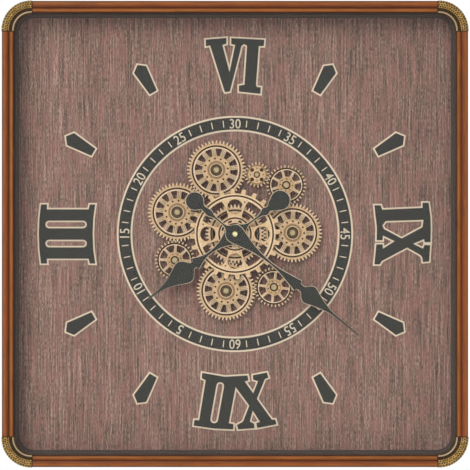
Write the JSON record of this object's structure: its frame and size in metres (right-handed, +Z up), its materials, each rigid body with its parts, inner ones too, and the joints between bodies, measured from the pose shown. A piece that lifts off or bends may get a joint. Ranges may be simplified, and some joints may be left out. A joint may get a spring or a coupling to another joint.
{
  "type": "gear wall clock",
  "caption": "Square wood-framed wall clock with brass corners, Roman numerals, two leaf hands and an open train of meshing wooden gears round a toothed crown, under glass.",
  "frame": {"origin": "seat of the hanging keyhole, in the plane of the wall", "axes": "+Z up, +Y into the wall, so the dial faces -Y; +X is to the right of a person who reads the dial"},
  "size_m": [0.6, 0.07, 0.6],
  "materials": {
    "frame_wood": "stained reddish brown, satin",
    "casting_brass": "antique bronze, pebbled",
    "back_timber": "sawn softwood",
    "zinc_plate": "zinc plated",
    "screw_steel": "yellow passivated",
    "bumper_rubber": "matte",
    "glass": "clear float glass",
    "liner_board": "dark grey, matte",
    "dial_wood": "weathered walnut, matte",
    "cream_trim": "cream, matte",
    "dark_trim": "charcoal, matte",
    "gear_wood": "tan with burnt engraving",
    "axle_steel": "satin, slightly warm",
    "brass_fitting": "polished",
    "hand_metal": "charcoal paint, cream edge",
    "pale_brass": "bright",
    "case_plastic": "black, fine texture",
    "gear_nylon": "natural nylon",
    "knob_plastic": "red",
    "coil_copper": "lacquered copper wire",
    "board_green": "solder mask",
    "spring_steel": "nickel plated",
    "cell_jacket": "printed jacket, gloss",
    "motor_steel": "satin",
    "switch_plastic": "light grey"
  },
  "bodies": {
    "clock": {"rail_top": "frame_wood", "rail_bottom": "frame_wood", "rail_left": "frame_wood", "rail_right": "frame_wood", "casting_upper_left": "casting_brass", "casting_upper_right": "casting_brass", "casting_lower_left": "casting_brass", "casting_lower_right": "casting_brass", "corner_braces": "back_timber", "hanger_batten": "back_timber", "hanger_plate": "zinc_plate", "wood_screws": "screw_steel", "wall_bumpers": "bumper_rubber", "front_glass": "glass", "glass_liner": "liner_board", "dial_panel": "dial_wood", "dial_outlines": "cream_trim", "minute_track": "dark_trim", "minute_ticks": "cream_trim", "numeral_xii": "dark_trim", "numeral_iii": "dark_trim", "numeral_vi": "dark_trim", "numeral_ix": "dark_trim", "hour_batons": "dark_trim", "wheel_spacers": "brass_fitting", "wheel_axles": "axle_steel", "axle_nuts": "brass_fitting", "centre_sleeve": "brass_fitting", "movement_case": "case_plastic", "movement_cover": "case_plastic", "movement_collar": "brass_fitting", "movement_nut": "brass_fitting", "step_motor": "coil_copper", "movement_board": "board_green", "battery_contacts": "spring_steel", "battery_cells": "cell_jacket", "drive_case": "case_plastic", "drive_cover": "case_plastic", "gear_motor": "motor_steel"},
    "centre": {"centre_wheel": "gear_wood", "centre_crown": "gear_wood"},
    "drive": {"drive_wheel": "gear_wood", "drive_arbor": "axle_steel"},
    "right_gear": {"wheel_right": "gear_wood"},
    "upper_right_gear": {"wheel_upper_right": "gear_wood"},
    "pinion": {"pinion_wheel": "gear_wood"},
    "lower_left_gear": {"wheel_lower_left": "gear_wood"},
    "left_gear": {"wheel_left": "gear_wood"},
    "top_gear": {"wheel_top": "gear_wood"},
    "upper_left_gear": {"wheel_upper_left": "gear_wood"},
    "minute": {"minute_arbor": "brass_fitting", "minute_hand": "hand_metal", "hand_nut": "pale_brass"},
    "hour": {"hour_wheel": "gear_nylon", "hour_hand": "hand_metal"},
    "motion": {"motion_wheel": "gear_nylon", "set_knob": "knob_plastic"},
    "switch": {"switch_slider": "switch_plastic"}
  },
  "joints": [
    {"name": "drive_spin", "type": "hinge", "parent": "clock", "child": "drive", "pos_m": [0.02426, -0.0375, -0.28619], "axis": [0, 1, 0], "continuous": true},
    {"name": "right_spin", "type": "hinge", "parent": "clock", "child": "right_gear", "pos_m": [0.07514, -0.0375, -0.23125], "axis": [0, 1, 0], "continuous": true},
    {"name": "upper_right_spin", "type": "hinge", "parent": "clock", "child": "upper_right_gear", "pos_m": [0.07819, -0.0375, -0.16892], "axis": [0, 1, 0], "continuous": true},
    {"name": "pinion_spin", "type": "hinge", "parent": "clock", "child": "pinion", "pos_m": [-0.02842, -0.0375, -0.28009], "axis": [0, 1, 0], "continuous": true},
    {"name": "lower_left_spin", "type": "hinge", "parent": "clock", "child": "lower_left_gear", "pos_m": [-0.06661, -0.0375, -0.26642], "axis": [0, 1, 0], "continuous": true},
    {"name": "left_spin", "type": "hinge", "parent": "clock", "child": "left_gear", "pos_m": [-0.07486, -0.0375, -0.20457], "axis": [0, 1, 0], "continuous": true},
    {"name": "centre_spin", "type": "hinge", "parent": "clock", "child": "centre", "pos_m": [0, -0.0375, -0.203], "axis": [0, 1, 0], "continuous": true},
    {"name": "top_spin", "type": "hinge", "parent": "clock", "child": "top_gear", "pos_m": [0.01158, -0.0375, -0.12902], "axis": [0, 1, 0], "continuous": true},
    {"name": "upper_left_spin", "type": "hinge", "parent": "clock", "child": "upper_left_gear", "pos_m": [-0.05061, -0.0375, -0.13403], "axis": [0, 1, 0], "continuous": true},
    {"name": "minute_spin", "type": "hinge", "parent": "clock", "child": "minute", "pos_m": [0, -0.0525, -0.203], "axis": [0, 1, 0], "continuous": true},
    {"name": "hour_spin", "type": "hinge", "parent": "clock", "child": "hour", "pos_m": [0, -0.0485, -0.203], "axis": [0, 1, 0], "continuous": true},
    {"name": "set_spin", "type": "hinge", "parent": "clock", "child": "motion", "pos_m": [0.00848, -0.016, -0.19451], "axis": [0, 1, 0], "continuous": true},
    {"name": "switch_slide", "type": "slide", "parent": "clock", "child": "switch", "axis": [1, 0, 0], "range_m": [0, 0.004]}
  ],
  "couplings": [
    {"joint": "right_spin", "follows": "drive_spin", "ratio": -1},
    {"joint": "upper_right_spin", "follows": "drive_spin", "ratio": 1.5},
    {"joint": "pinion_spin", "follows": "drive_spin", "ratio": -2.4},
    {"joint": "lower_left_spin", "follows": "drive_spin", "ratio": 1.5},
    {"joint": "left_spin", "follows": "drive_spin", "ratio": -1},
    {"joint": "centre_spin", "follows": "drive_spin", "ratio": 1},
    {"joint": "top_spin", "follows": "drive_spin", "ratio": -1},
    {"joint": "upper_left_spin", "follows": "drive_spin", "ratio": 1.5},
    {"joint": "hour_spin", "follows": "minute_spin", "ratio": 0.083333},
    {"joint": "set_spin", "follows": "minute_spin", "ratio": -0.33333}
  ]
}
